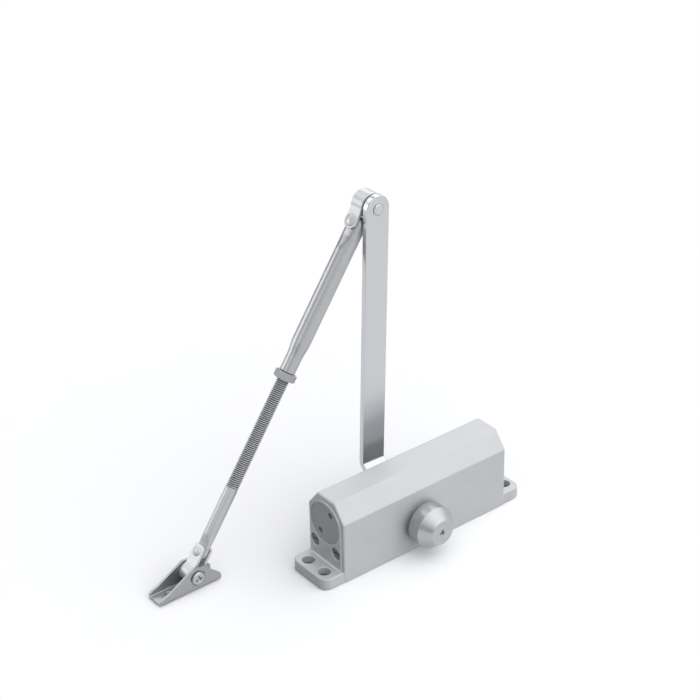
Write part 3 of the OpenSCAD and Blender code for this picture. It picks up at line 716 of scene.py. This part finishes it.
def make_main_arm():
    """Flat arm that steps out between its lower and upper part, with round ends."""
    low_y = corner("gland_rear").y + 1.2 + ARM_T / 2
    high_y = ARM_BACK - ARM_T / 2
    stations = arm_stations(low_y, high_y)
    rings = []
    for i, (y, z, half) in enumerate(stations):
        before, after = stations[max(i - 1, 0)], stations[min(i + 1, len(stations) - 1)]
        along = Vector((after[0] - before[0], after[1] - before[1])).normalized()
        from_tip = ARM_R - max(-z, z - ARM_LEN, 0)
        lack = ARM_EDGE - min(from_tip, ARM_EDGE)
        thick = ARM_T / 2 - ARM_EDGE + math.sqrt(ARM_EDGE ** 2 - lack ** 2)
        ring = []
        for x, off in rounded_box(half, thick, ARM_EDGE):
            ring.append((x, y + off * along.y, z - off * along.x))
        rings.append(ring)
    arm = solid("arm", rings, ARM)
    square = axes((SPINDLE.x, 0, SPINDLE.z), ARM_SIDE, Y)
    sink = high_y - ARM_T / 2 + RIVET_SINK
    combine(arm, [prism("square", SQUARE, 0, 36, square, (0, 0)),
                  rod(RIVET_R, 34, 44, ELBOW_REAR, 0, 48),
                  rod(RIVET_SINK_R, 34, sink, ELBOW_REAR, 0, 64)])
    finish(arm, "arm", "spindle", "arm_paint", "main_arm", sharp=50)


def make_arm_screw():
    """Hexagon-head screw with a washer, on the back of the arm."""
    face, under = corner("arm_washer").y, corner("arm_washer", False).y
    top, tail = corner("arm_screw").y, corner("arm_screw", False).y
    shank_r, socket_r, dome_r = 3, 2.5, 6.4
    ring = washer("arm_screw_washer", shank_r, 8.5, under, face, SPINDLE_REAR, 0.35)
    finish(ring, "arm_screw_washer", "spindle", "gland_zinc", "arm_washer")
    head = prism("arm_screw_head", hexagon(10), face, top, SPINDLE_REAR, (0, 0))
    dome = [(0, face - 0.5), (dome_r, face - 0.5), (dome_r, top - 0.9), (5.0, top), (0, top)]
    combine(head, [lathe("dome", dome, SPINDLE_REAR)], "INTERSECT")
    shank = [(0, tail), (shank_r, tail), (shank_r, face + 0.5), (0, face + 0.5)]
    combine(head, [lathe("shank", shank, SPINDLE_REAR, segments=48)], "UNION")
    combine(head, [rod(socket_r, top - 2, top, SPINDLE_REAR, 0.3, 6)])
    finish(head, "arm_screw_head", "spindle", "screw_dark", "arm_screw")


# ---------- elbow ----------

# Distance from the elbow's pin to the rivet across the strap.
ELBOW_DROP = 15.5


def make_elbow_rivet():
    """Rivet through the arm: low domed head in front, upset head behind."""
    front, back = corner("elbow_rivet", False).y, corner("elbow_rivet").y
    seat = ARM_BACK - ARM_T + RIVET_SINK
    head_r, upset_r, upset = 4.3, 5.5, back - 1.6
    profile = [(0, front), (3.0, front + 0.05), (3.7, front + 0.2), (4.1, front + 0.5),
               (head_r, front + 0.9), (head_r, seat), (RIVET_R, seat), (RIVET_R, upset),
               (upset_r, upset), (5.4, back - 1.1), (4.7, back - 0.5), (3.2, back - 0.1), (0, back)]
    rivet = lathe("elbow_rivet_turned", profile, ELBOW_REAR)
    finish(rivet, "elbow_rivet_turned", "spindle", "arm_paint", "elbow_rivet")


def strap_outline(inside, outside, barrel_r, end):
    """A barrel with two ears that stand up to end, seen along the barrel."""
    notch, bend = barrel_r - 0.6, 2.5
    join = math.sqrt(barrel_r ** 2 - outside ** 2)
    start = math.degrees(math.asin(join / barrel_r)) - 8
    outline = [(inside, end), (inside, notch), (-inside, notch), (-inside, end),
               (-outside, end), (-outside, join + bend)]
    outline += arc((0, 0), barrel_r, 180 - start, 360 + start, 48)
    return outline + [(outside, join + bend), (outside, end)]


def make_strap(name, node, body, along, barrel_r, half_width, ear, pin_drop, hole_r, pin_r,
               ear_corner):
    """A strip wrapped round a barrel, whose two ears carry a cross rivet.

    ear is (inside, outside) from the forearm's axis. pin_drop is where the rivet is from the
    barrel, along the forearm. ear_corner is the radius of the ears' corners."""
    toward = math.copysign(1, pin_drop)
    drop = abs(pin_drop)
    outline = strap_outline(*ear, barrel_r, drop + half_width + 1)
    strap = prism(name, towards(outline, toward), -half_width, half_width, pin_place(along),
                  (0.5, 0.5))
    wide, foot = half_width + 0.02, -barrel_r - 1
    tongue = rounded([(-wide, foot), (wide, foot), (wide, drop + half_width),
                      (-wide, drop + half_width)], [0, 0, ear_corner, ear_corner], steps=12)
    window = prism("window", towards(tongue, toward), foot, -foot, across(along), (0, 0))
    combine(strap, [window], "INTERSECT")
    combine(strap, [rod(hole_r, -half_width - 1, half_width + 1, pin_place(along)),
                    rod(pin_r, -barrel_r, barrel_r, across(along + pin_drop), 0, 48)])
    finish(strap, name, body, "strap_zinc", node, sharp=35)


def make_cross_rivet(name, node, body, along, shank_r, head_r, grip):
    """Rivet across a strap's ears with a domed head at each end."""
    reach = 1.6
    dome = [(head_r * wide, grip + reach * high)
            for wide, high in ((1, 0), (0.97, 0.35), (0.8, 0.72), (0.5, 0.94), (0, 1))]
    profile = [(r, -h) for r, h in dome[::-1]]
    profile += [(shank_r, -grip), (shank_r, grip)] + dome
    rivet = lathe(name, profile, across(along), segments=48)
    finish(rivet, name, body, "strap_zinc", node)


# ---------- forearm ----------

# Distances along the forearm, from the shoe pin.
NUT_LOW = 159.9
NUT_HIGH = 165.9
TUBE_START = 166.2
NECK_END = 178
SWELL_END = 191
PRESS_FROM = FOREARM_LEN - 38
PRESS_TO = FOREARM_LEN - 26

# Tube: its radius, its neck's, half the thickness of its pressed end and that end's rounding.
TUBE_R = 7.15
NECK_R = 6.0
PRESSED = 5.3
TUBE_END_R = 5.6

# Turn of the lock nut's corners about the forearm, in degrees.
NUT_TURN = 13


def tube_stations(pin):
    """Places along the tube, as (distance along, half thickness, half width)."""
    stations = [(TUBE_START, NECK_R - 0.5, NECK_R - 0.5),
                (TUBE_START + 0.15, NECK_R - 0.2, NECK_R - 0.2),
                (TUBE_START + 0.5, NECK_R, NECK_R), (NECK_END, NECK_R, NECK_R)]
    for k in range(1, 9):
        share = k / 8
        size = NECK_R + (TUBE_R - NECK_R) * ease(share)
        stations.append((NECK_END + (SWELL_END - NECK_END) * share, size, size))
    stations.append((PRESS_FROM, TUBE_R, TUBE_R))
    for k in range(1, 13):
        share = k / 12
        stations.append((PRESS_FROM + (PRESS_TO - PRESS_FROM) * share,
                         TUBE_R + (PRESSED - TUBE_R) * ease(share), TUBE_R))
    for angle in (0, 12, 24, 36, 48, 60, 72, 82):
        turn = math.radians(angle)
        stations.append((pin - 0.8 + TUBE_END_R * math.sin(turn), PRESSED,
                         TUBE_R - TUBE_END_R + TUBE_END_R * math.cos(turn)))
    return stations


def make_tube():
    """Tube: necked at the nut, swelling to full size, pressed flat and round at the elbow."""
    pin = FOREARM_LEN - ELBOW_DROP
    rings = []
    for along, thick, wide in tube_stations(pin):
        pressed = (TUBE_R - thick) / (TUBE_R - PRESSED) if along > PRESS_FROM else 0
        square = max(min(pressed, 1), 0)
        ring = []
        for k in range(72):
            turn = math.tau * k / 72
            cos, sin = math.cos(turn), math.sin(turn)
            ring.append((thick * math.copysign(abs(cos) ** (1 - 0.5 * square), cos),
                         wide * math.copysign(abs(sin) ** (1 - 0.2 * square), sin), along))
        rings.append(ring)
    tube = solid("tube", rings, FOREARM)
    combine(tube, [rod(5.0, TUBE_START - 1, FOREARM_LEN - 37, FOREARM),
                   rod(3.05, -9, 9, across(pin), 0, 48)])
    finish(tube, "tube", "forearm", "tube_satin", "forearm_tube", sharp=45)


def make_nut(name, node, body, slot, across_flats, low, high, bore, place):
    """Hexagon nut with both faces chamfered and a countersunk bore."""
    nut = prism(name, hexagon(across_flats), low, high, place, (0, 0))
    corner_r = across_flats / 2 / math.cos(math.radians(30)) + 0.2
    flat_r = across_flats / 2 - 0.1
    fall = (corner_r - flat_r) * 0.55
    past = flat_r - 0.5 * (corner_r - flat_r) / fall
    dome = [(0, low - 0.5), (past, low - 0.5), (corner_r, low + fall), (corner_r, high - fall),
            (past, high + 0.5), (0, high + 0.5)]
    combine(nut, [lathe("dome", dome, place)], "INTERSECT")
    mouth = bore + 1.6
    bore_line = [(0, low - 1), (mouth, low - 1), (bore, low + 0.6), (bore, high - 0.6),
                 (mouth, high + 1), (0, high + 1)]
    combine(nut, [lathe("bore", bore_line, place)])
    finish(nut, name, body, slot, node)


# Adjusting rod: where it ends in the tube, its plain radius and the pitch of its thread.
ROD_END = 205
PLAIN_R = 4.9
PITCH = 1.5

# Its pressed end: half thickness, half width, where it ends, the length over which it turns round
# and the distance from the shoe's pin to its rivet.
FLAT_HALF = 2.3
FLAT_WIDE = 5.5
FLAT_END = 23
FLAT_FADE = 9
FOOT_RISE = 17


def thread_radius(along, turn):
    """Radius of the adjusting rod's thread at a place along it and an angle round it."""
    phase = (along / PITCH - turn / math.tau) % 1
    ridge = min(max(abs(phase - 0.5) * 3.2 - 0.3, 0), 1)
    fade = min((along - THREAD_FROM) / 2, (ROD_END - along) / 2, 1)
    return ROD_R - THREAD_DEPTH * ridge * max(fade, 0) - 0.25 * (1 - max(fade, 0))


def rod_stations():
    """Places along the rod's plain end, as (distance along, half thickness, half width)."""
    stations = []
    for angle in (88, 80, 68, 54, 40, 26, 12, 0):
        turn = math.radians(angle)
        stations.append((FOOT_RISE - FLAT_WIDE * math.sin(turn), FLAT_HALF,
                         FLAT_WIDE * math.cos(turn)))
    stations.append((FLAT_END, FLAT_HALF, FLAT_WIDE))
    for k in range(1, 9):
        share = k / 8
        stations.append((FLAT_END + FLAT_FADE * share,
                         FLAT_HALF + (PLAIN_R - FLAT_HALF) * ease(share),
                         FLAT_WIDE + (PLAIN_R - FLAT_WIDE) * ease(share)))
    return stations


def make_adjusting_rod():
    """Rod: rolled thread above, plain below, pressed flat and rounded at its rivet."""
    sides, steps_a_turn = 40, 8
    turns = [math.tau * k / sides for k in range(sides)]
    rings = []
    for along, thick, wide in rod_stations():
        power = 1 - 0.55 * (PLAIN_R - thick) / (PLAIN_R - FLAT_HALF)
        rings.append([(thick * math.copysign(abs(math.cos(t)) ** power, math.cos(t)),
                       wide * math.sin(t), along) for t in turns])
    rings.append([(PLAIN_R * math.cos(t), PLAIN_R * math.sin(t), THREAD_FROM - 1) for t in turns])
    steps = int((ROD_END - THREAD_FROM) / PITCH * steps_a_turn)
    for k in range(steps + 1):
        along = THREAD_FROM + (ROD_END - THREAD_FROM) * k / steps
        ring = []
        for t in turns:
            radius = thread_radius(along, t)
            ring.append((radius * math.cos(t), radius * math.sin(t), along))
        rings.append(ring)
    piece = solid("adjusting_rod", rings, FOREARM)
    combine(piece, [rod(2.55, -6, 6, across(FOOT_RISE), 0, 48)])
    finish(piece, "adjusting_rod", "rod", "rod_zinc", "threaded_rod", sharp=60)


# ---------- shoe ----------

def shoe_outline(reach, back, base_z):
    """Side view of a shoe wall: blunt tip, long slope, low hump over the pin, round tail."""
    points = [(-reach - 1, base_z - 1), (back + 1, base_z - 1), (back + 0.5, base_z),
              (back - 0.3, base_z + 5.8), (12, 2), (7.8, 8), (-3.3, 8.6),
              (-reach + 8.5, base_z + 7.3), (-reach + 1, base_z + 4.6), (-reach - 0.5, base_z)]
    return rounded(points, [0, 0, 0, 2.5, 1.2, 3.5, 6, 3, 2.5, 0], steps=8)


# Shoe: depth and radius of the recess round the screw, the screw's shank and head, the sheet's
# thickness and the turn of the screw's cross in degrees.
SHOE_SINK = 0.8
SHOE_SINK_R = 6.5
SHOE_SCREW_R = 3
SHOE_HEAD_R = 5.4
SHOE_SHEET = 1.8
SHOE_SCREW_TURN = 12


def make_shoe():
    """Pressed U-shaped shoe: base, two humped walls, a recess round the screw, two holes."""
    low, high = corner("shoe_bracket", False) - SHOE_PIN, corner("shoe_bracket") - SHOE_PIN
    half, top = high.y, high.z + 1
    inner, base = half - SHOE_SHEET, low.z + SHOE_SHEET
    outer = [(-half, low.z), (half, low.z), (half, top), (inner, top), (inner, base),
             (-inner, base), (-inner, top), (-half, top)]
    section = rounded(outer, [2.4, 2.4, 0, 0, 0.8, 0.8, 0, 0])
    shoe = prism("shoe", section, low.x, high.x, axes(SHOE_PIN, Y, X), (0.3, 0.3))
    outline = shoe_outline(-low.x, high.x, low.z)
    wall = prism("wall", outline, -half - 1, half + 1, SHOE_FRONT, (0, 0))
    combine(shoe, [wall], "INTERSECT")
    tools = [rod(SHOE_SCREW_R, -half - 1, half + 1, SHOE_FRONT),
             rod(SHOE_SINK_R, half - SHOE_SINK, half + 1, SHOE_FRONT)]
    for x in (-21, 15):
        hole = axes(SHOE_PIN + Vector((x, 0, base)), X, Z)
        tools.append(rod(2.6, -4, 0, hole, 0.5, 48))
    combine(shoe, tools)
    soften = shoe.modifiers.new("soften", "BEVEL")
    soften.width = 0.45 * MM
    soften.segments = 2
    soften.limit_method = "ANGLE"
    soften.angle_limit = math.radians(50)
    finish(shoe, "shoe", "shoe", "shoe_zinc", "shoe_bracket")


def make_shoe_screw():
    """Pan-head screw through the shoe and the foot."""
    face = FOREARM_Y - corner("shoe_bracket", False).y
    tip = FOREARM_Y - corner("shoe_screw", False).y
    tail = FOREARM_Y - corner("shoe_screw").y
    seat = face - SHOE_SINK
    profile = [(0, tail), (SHOE_SCREW_R - 0.4, tail), (SHOE_SCREW_R, tail + 0.4),
               (SHOE_SCREW_R, seat), (SHOE_HEAD_R, seat), (SHOE_HEAD_R, face + 1.0),
               (5.2, face + 1.4), (4.5, face + 1.85), (3.4, face + 2.15), (1.8, tip - 0.04),
               (0, tip)]
    screw = lathe("shoe_screw_turned", profile, SHOE_FRONT, segments=64)
    place = SHOE_FRONT @ Matrix.Rotation(math.radians(SHOE_SCREW_TURN), 4, "Z")
    combine(screw, cross_tool(6.6, 1.6, tip - 2.0, tip + 0.3, place))
    finish(screw, "shoe_screw_turned", "shoe", "screw_bright", "shoe_screw")


# ---------- the parts together ----------

def make_housing():
    """Everything seen on the housing."""
    make_casting()
    make_end_plug(-1, "plug_left", "end_plug_left")
    make_end_plug(1, "plug_right", "end_plug_right")
    make_gland("gland_front_turned", "gland_front", SPINDLE_FRONT)
    make_gland("gland_rear_turned", "gland_rear", SPINDLE_REAR)
    make_spring()
    make_valve("closing_needle", "closing_valve", "closing_valve", 1)
    make_valve("latching_needle", "latching_valve", "latching_valve", -1)


def make_arm():
    """The cap and the main arm, with the screw that holds each one."""
    make_cap()
    make_cap_screw()
    make_main_arm()
    make_arm_screw()


def make_elbow():
    """The elbow: rivet, washer, bush, strap and cross rivet."""
    make_elbow_rivet()
    low, high = corner("elbow_washer", False).y, corner("elbow_washer").y
    gap = washer("elbow_spacer", 3.8, 7.5, low, high, ELBOW_REAR, 0.25)
    finish(gap, "elbow_spacer", "elbow", "gland_zinc", "elbow_washer")
    bush = washer("elbow_sleeve", 3.55, 5.2, -6, 6, pin_place(FOREARM_LEN), 0.25)
    finish(bush, "elbow_sleeve", "elbow", "nylon", "elbow_bush")
    make_strap("elbow_band", "elbow_strap", "elbow", FOREARM_LEN, barrel_r=10.2, half_width=6,
               ear=(5.5, 8), pin_drop=-ELBOW_DROP, hole_r=5.2, pin_r=3, ear_corner=5.6)
    make_cross_rivet("elbow_cross_rivet", "forearm_rivet", "elbow", FOREARM_LEN - ELBOW_DROP,
                     shank_r=3, head_r=4.6, grip=8)


def make_forearm():
    """The tube, its lock nut and the adjusting rod."""
    make_tube()
    place = FOREARM @ Matrix.Rotation(math.radians(NUT_TURN), 4, "Z")
    make_nut("nut", "lock_nut", "lock_nut", "tube_satin", across_flats=14.5, low=NUT_LOW,
             high=NUT_HIGH, bore=5.0, place=place)
    make_adjusting_rod()


def make_foot():
    """The foot joint and the shoe."""
    bush = washer("foot_sleeve", 3.05, 4.4, -5.8, 5.8, pin_place(0), 0.25)
    finish(bush, "foot_sleeve", "foot", "nylon", "foot_bush")
    make_strap("foot_band", "foot_strap", "foot", 0, barrel_r=7.5, half_width=5.8,
               ear=(2.6, 4.6), pin_drop=FOOT_RISE, hole_r=4.4, pin_r=2.5, ear_corner=3.4)
    make_cross_rivet("foot_cross_rivet", "foot_rivet", "foot", FOOT_RISE, shank_r=2.5,
                     head_r=3.6, grip=4.6)
    make_shoe()
    make_shoe_screw()
    make_nut("shoe_back_nut", "shoe_nut", "shoe", "gland_zinc", across_flats=10, low=8, high=12,
             bore=3, place=SHOE_REAR)


# Finishes of the pieces inside the casting.
INSIDE = {
    "plug_seal_left": "seal_rubber", "plug_seal_right": "seal_rubber",
    "bearing_front": "bronze", "bearing_rear": "bronze",
    "shaft_seal_front": "seal_rubber", "shaft_seal_rear": "seal_rubber",
    "spring_seat": "machined_steel",
    "piston": "machined_steel", "piston_seal": "seal_rubber", "check_valve_seat": "bronze",
    "check_ball": "machined_steel", "closing_valve_seal": "seal_rubber",
    "latching_valve_seal": "seal_rubber", "pinion_shaft": "machined_steel",
}


def dress_inside():
    """Finishes for the CAD nodes that stay as they are."""
    for node, slot in INSIDE.items():
        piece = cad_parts[node]
        piece.data.materials.clear()
        piece.data.materials.append(MATERIALS[slot])


# ---------- floor, light and camera ----------

# The floor's half width and how far it lies below the object, in metres.
FLOOR_HALF = 6.0
FLOOR_DROP = 0.0006


def make_floor():
    """Plain pale floor, seen in reflections but sending no soft light back."""
    corners = [(x * FLOOR_HALF, y * FLOOR_HALF, -FLOOR_DROP)
               for x, y in ((-1, -1), (1, -1), (1, 1), (-1, 1))]
    mesh = bpy.data.meshes.new("floor")
    mesh.from_pydata(corners, [], [(0, 1, 2, 3)])
    floor = bpy.data.objects.new("floor", mesh)
    bpy.context.scene.collection.objects.link(floor)
    mesh.materials.append(surface("floor_pale", (0.95, 0.95, 0.95), (0.97, 0.97, 0.97), 0.0,
                                  (0.8, 0.9), 4.0, 0.0, specular=0.0))
    floor.visible_diffuse = False


# The middle of the object, in metres. The reflectors face it.
OBJECT_MIDDLE = Vector((-0.03, 0.02, 0.1))


def add_reflector(name, spot, size, power):
    """A bright panel that shows only as a reflection. Metres and watts."""
    light = bpy.data.lights.new(name, "AREA")
    light.shape = "RECTANGLE"
    light.size, light.size_y = size
    light.energy = power
    lamp = bpy.data.objects.new(name, light)
    lamp.location = spot
    lamp.rotation_euler = (Vector(spot) - OBJECT_MIDDLE).to_track_quat("Z", "Y").to_euler()
    lamp.visible_diffuse = False
    bpy.context.scene.collection.objects.link(lamp)


def glow(nodes, links, toward, strength):
    """Light that is full in one direction and fades to nothing at right angles to it."""
    facing = nodes.new("ShaderNodeVectorMath")
    facing.operation = "DOT_PRODUCT"
    facing.inputs[1].default_value = Vector(toward).normalized()
    links.new(nodes.new("ShaderNodeTexCoord").outputs["Generated"], facing.inputs[0])
    return link_range(nodes, links, facing.outputs["Value"], 0.0, strength)


def make_world(toward, front, above, ambient):
    """Surroundings like two very large soft lights, one in front and one above."""
    world = bpy.data.worlds.new("studio")
    bpy.context.scene.world = world
    world.use_nodes = True
    nodes, links = world.node_tree.nodes, world.node_tree.links
    both = nodes.new("ShaderNodeMath")
    both.operation = "ADD"
    links.new(glow(nodes, links, toward, front), both.inputs[0])
    links.new(glow(nodes, links, (0, 0, 1), above), both.inputs[1])
    total = nodes.new("ShaderNodeMath")
    total.operation = "ADD"
    total.inputs[1].default_value = ambient
    links.new(both.outputs["Value"], total.inputs[0])
    links.new(total.outputs["Value"], nodes["Background"].inputs["Strength"])
    nodes["Background"].inputs["Color"].default_value = (0.98, 0.985, 1.0, 1)


# The point the camera looks at and its distance in millimetres, and its angles in degrees.
CAMERA_AIM = (1.5, 71.2, 128.4)
CAMERA_TURN = -38.07
CAMERA_HEIGHT = 30.08
CAMERA_ROLL = -1.13
CAMERA_DISTANCE = 1455.55
CAMERA_LENS = 98.0


def make_camera():
    """Camera in front, to the left and above."""
    turn, height = math.radians(CAMERA_TURN), math.radians(CAMERA_HEIGHT)
    back = Vector((math.sin(turn) * math.cos(height), -math.cos(turn) * math.cos(height),
                   math.sin(height)))
    data = bpy.data.cameras.new("camera")
    data.lens = CAMERA_LENS
    data.sensor_width = 36
    data.clip_end = 20
    camera = bpy.data.objects.new("camera", data)
    camera.location = (Vector(CAMERA_AIM) + back * CAMERA_DISTANCE) * MM
    roll = Quaternion((0, 0, 1), math.radians(CAMERA_ROLL))
    camera.rotation_euler = (back.to_track_quat("Z", "Y") @ roll).to_euler()
    bpy.context.scene.collection.objects.link(camera)
    bpy.context.scene.camera = camera


make_camera()
make_housing()
make_arm()
make_elbow()
make_forearm()
make_foot()
dress_inside()
make_floor()
make_world((0.42, -0.7, 0.6), 1.42, 0.62, 0.02)
add_reflector("left_panel", (-1.1, 1.15, 0.5), (1.2, 0.8), 7.5)
add_reflector("side_panel", (-1.45, -0.2, 0.7), (0.7, 0.7), 2.2)
add_reflector("upper_panel", (-0.4, 1.18, 1.32), (0.9, 0.9), 3.8)
add_reflector("rear_panel", (0.9, 1.1, 0.95), (1.2, 0.8), 6.0)
bpy.context.scene.view_settings.view_transform = "Standard"
